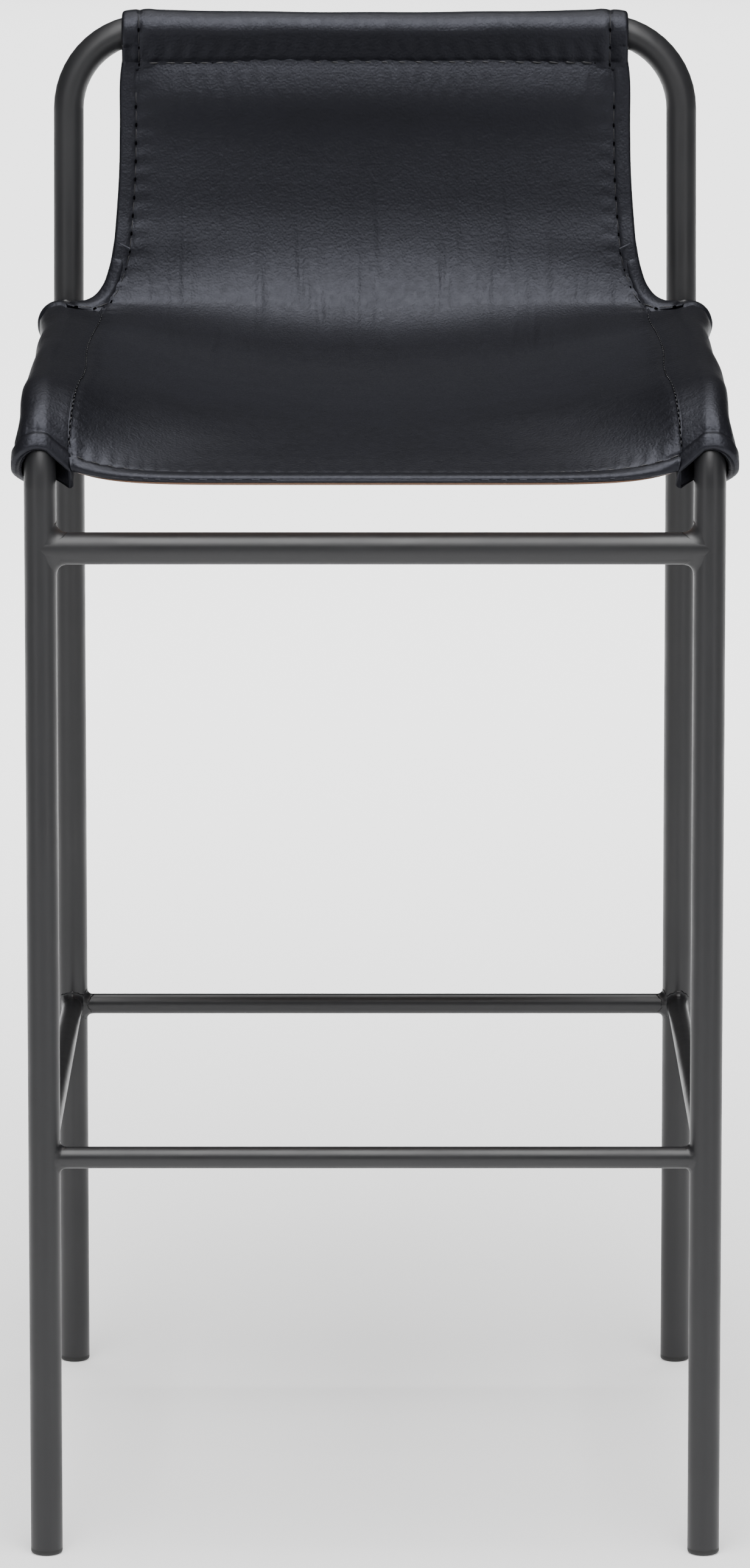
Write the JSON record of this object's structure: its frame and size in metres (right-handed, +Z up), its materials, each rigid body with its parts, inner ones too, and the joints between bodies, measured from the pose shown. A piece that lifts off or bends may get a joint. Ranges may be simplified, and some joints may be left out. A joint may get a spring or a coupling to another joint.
{
  "type": "bar stool with footrest",
  "caption": "Bar stool with a bent tube frame, a square footrest ring and a black leather sling that forms the low back and the seat.",
  "frame": {"origin": "on the floor, under the middle of the stool's outer box", "axes": "+Z up; -Y is the way the sitter faces, so the front legs are at -Y and the back is at +Y; X = 0 is the plane of symmetry"},
  "size_m": [0.484, 0.5308, 1.0215],
  "materials": {
    "frame_paint": "satin black powder coat on steel tube",
    "leather": "fine-grained finished leather, blue-black, semi-gloss",
    "lining": "raw suede side, brown, matt",
    "thread": "waxed black thread",
    "foot_plastic": "moulded black plastic"
  },
  "bodies": {
    "root": {"crossbar_welds": "frame_paint", "footrest_front_bar": "frame_paint", "footrest_left_bar": "frame_paint", "footrest_rear_bar": "frame_paint", "footrest_right_bar": "frame_paint", "footrest_welds": "frame_paint", "front_left_foot_plug": "foot_plastic", "front_right_foot_plug": "foot_plastic", "left_rail_sleeve": "leather", "left_seat_seam_thread": "thread", "left_side_tube": "frame_paint", "rear_hoop": "frame_paint", "rear_left_foot_plug": "foot_plastic", "rear_right_foot_plug": "foot_plastic", "right_rail_sleeve": "leather", "right_seat_seam_thread": "thread", "right_side_tube": "frame_paint", "seat_front_crossbar": "frame_paint", "seat_rail_welds": "frame_paint", "sling_lining": "lining", "sling_panel": "leather", "top_rail_sleeve": "leather", "top_seam_thread": "thread"}
  },
  "joints": []
}
